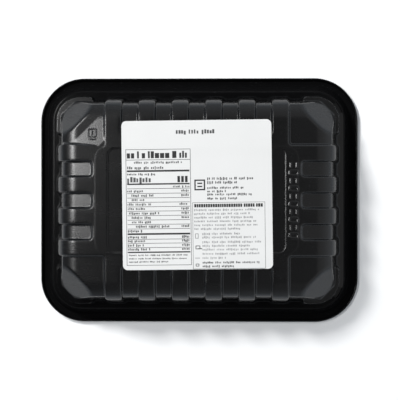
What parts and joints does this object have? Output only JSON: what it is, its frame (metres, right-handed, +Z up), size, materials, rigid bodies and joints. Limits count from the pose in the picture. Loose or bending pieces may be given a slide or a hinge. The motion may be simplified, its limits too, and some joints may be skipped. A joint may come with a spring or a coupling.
{
  "type": "sealed meat tray pack",
  "caption": "Shut black plastic meat tray pack lying on its film lid, with the ribbed base up and a square paper label on the base.",
  "frame": {"origin": "under the middle of the pack, on the surface that its film lid lies on", "axes": "+Z up, out of the tray's base; +X along the long side, to the right when the label reads upright; +Y towards the label's top edge"},
  "size_m": [0.2714, 0.2084, 0.0426],
  "materials": {
    "tray_plastic": "satin moulded black plastic, glossier on the flange",
    "lid_film": "taut dark film, sealed to the flange",
    "label_paper": "matt white thermal paper",
    "label_print": "black thermal print, plain bars in place of words"
  },
  "bodies": {
    "root": {"tray": "tray_plastic", "lid_film": "lid_film", "label": "label_paper"}
  },
  "joints": []
}
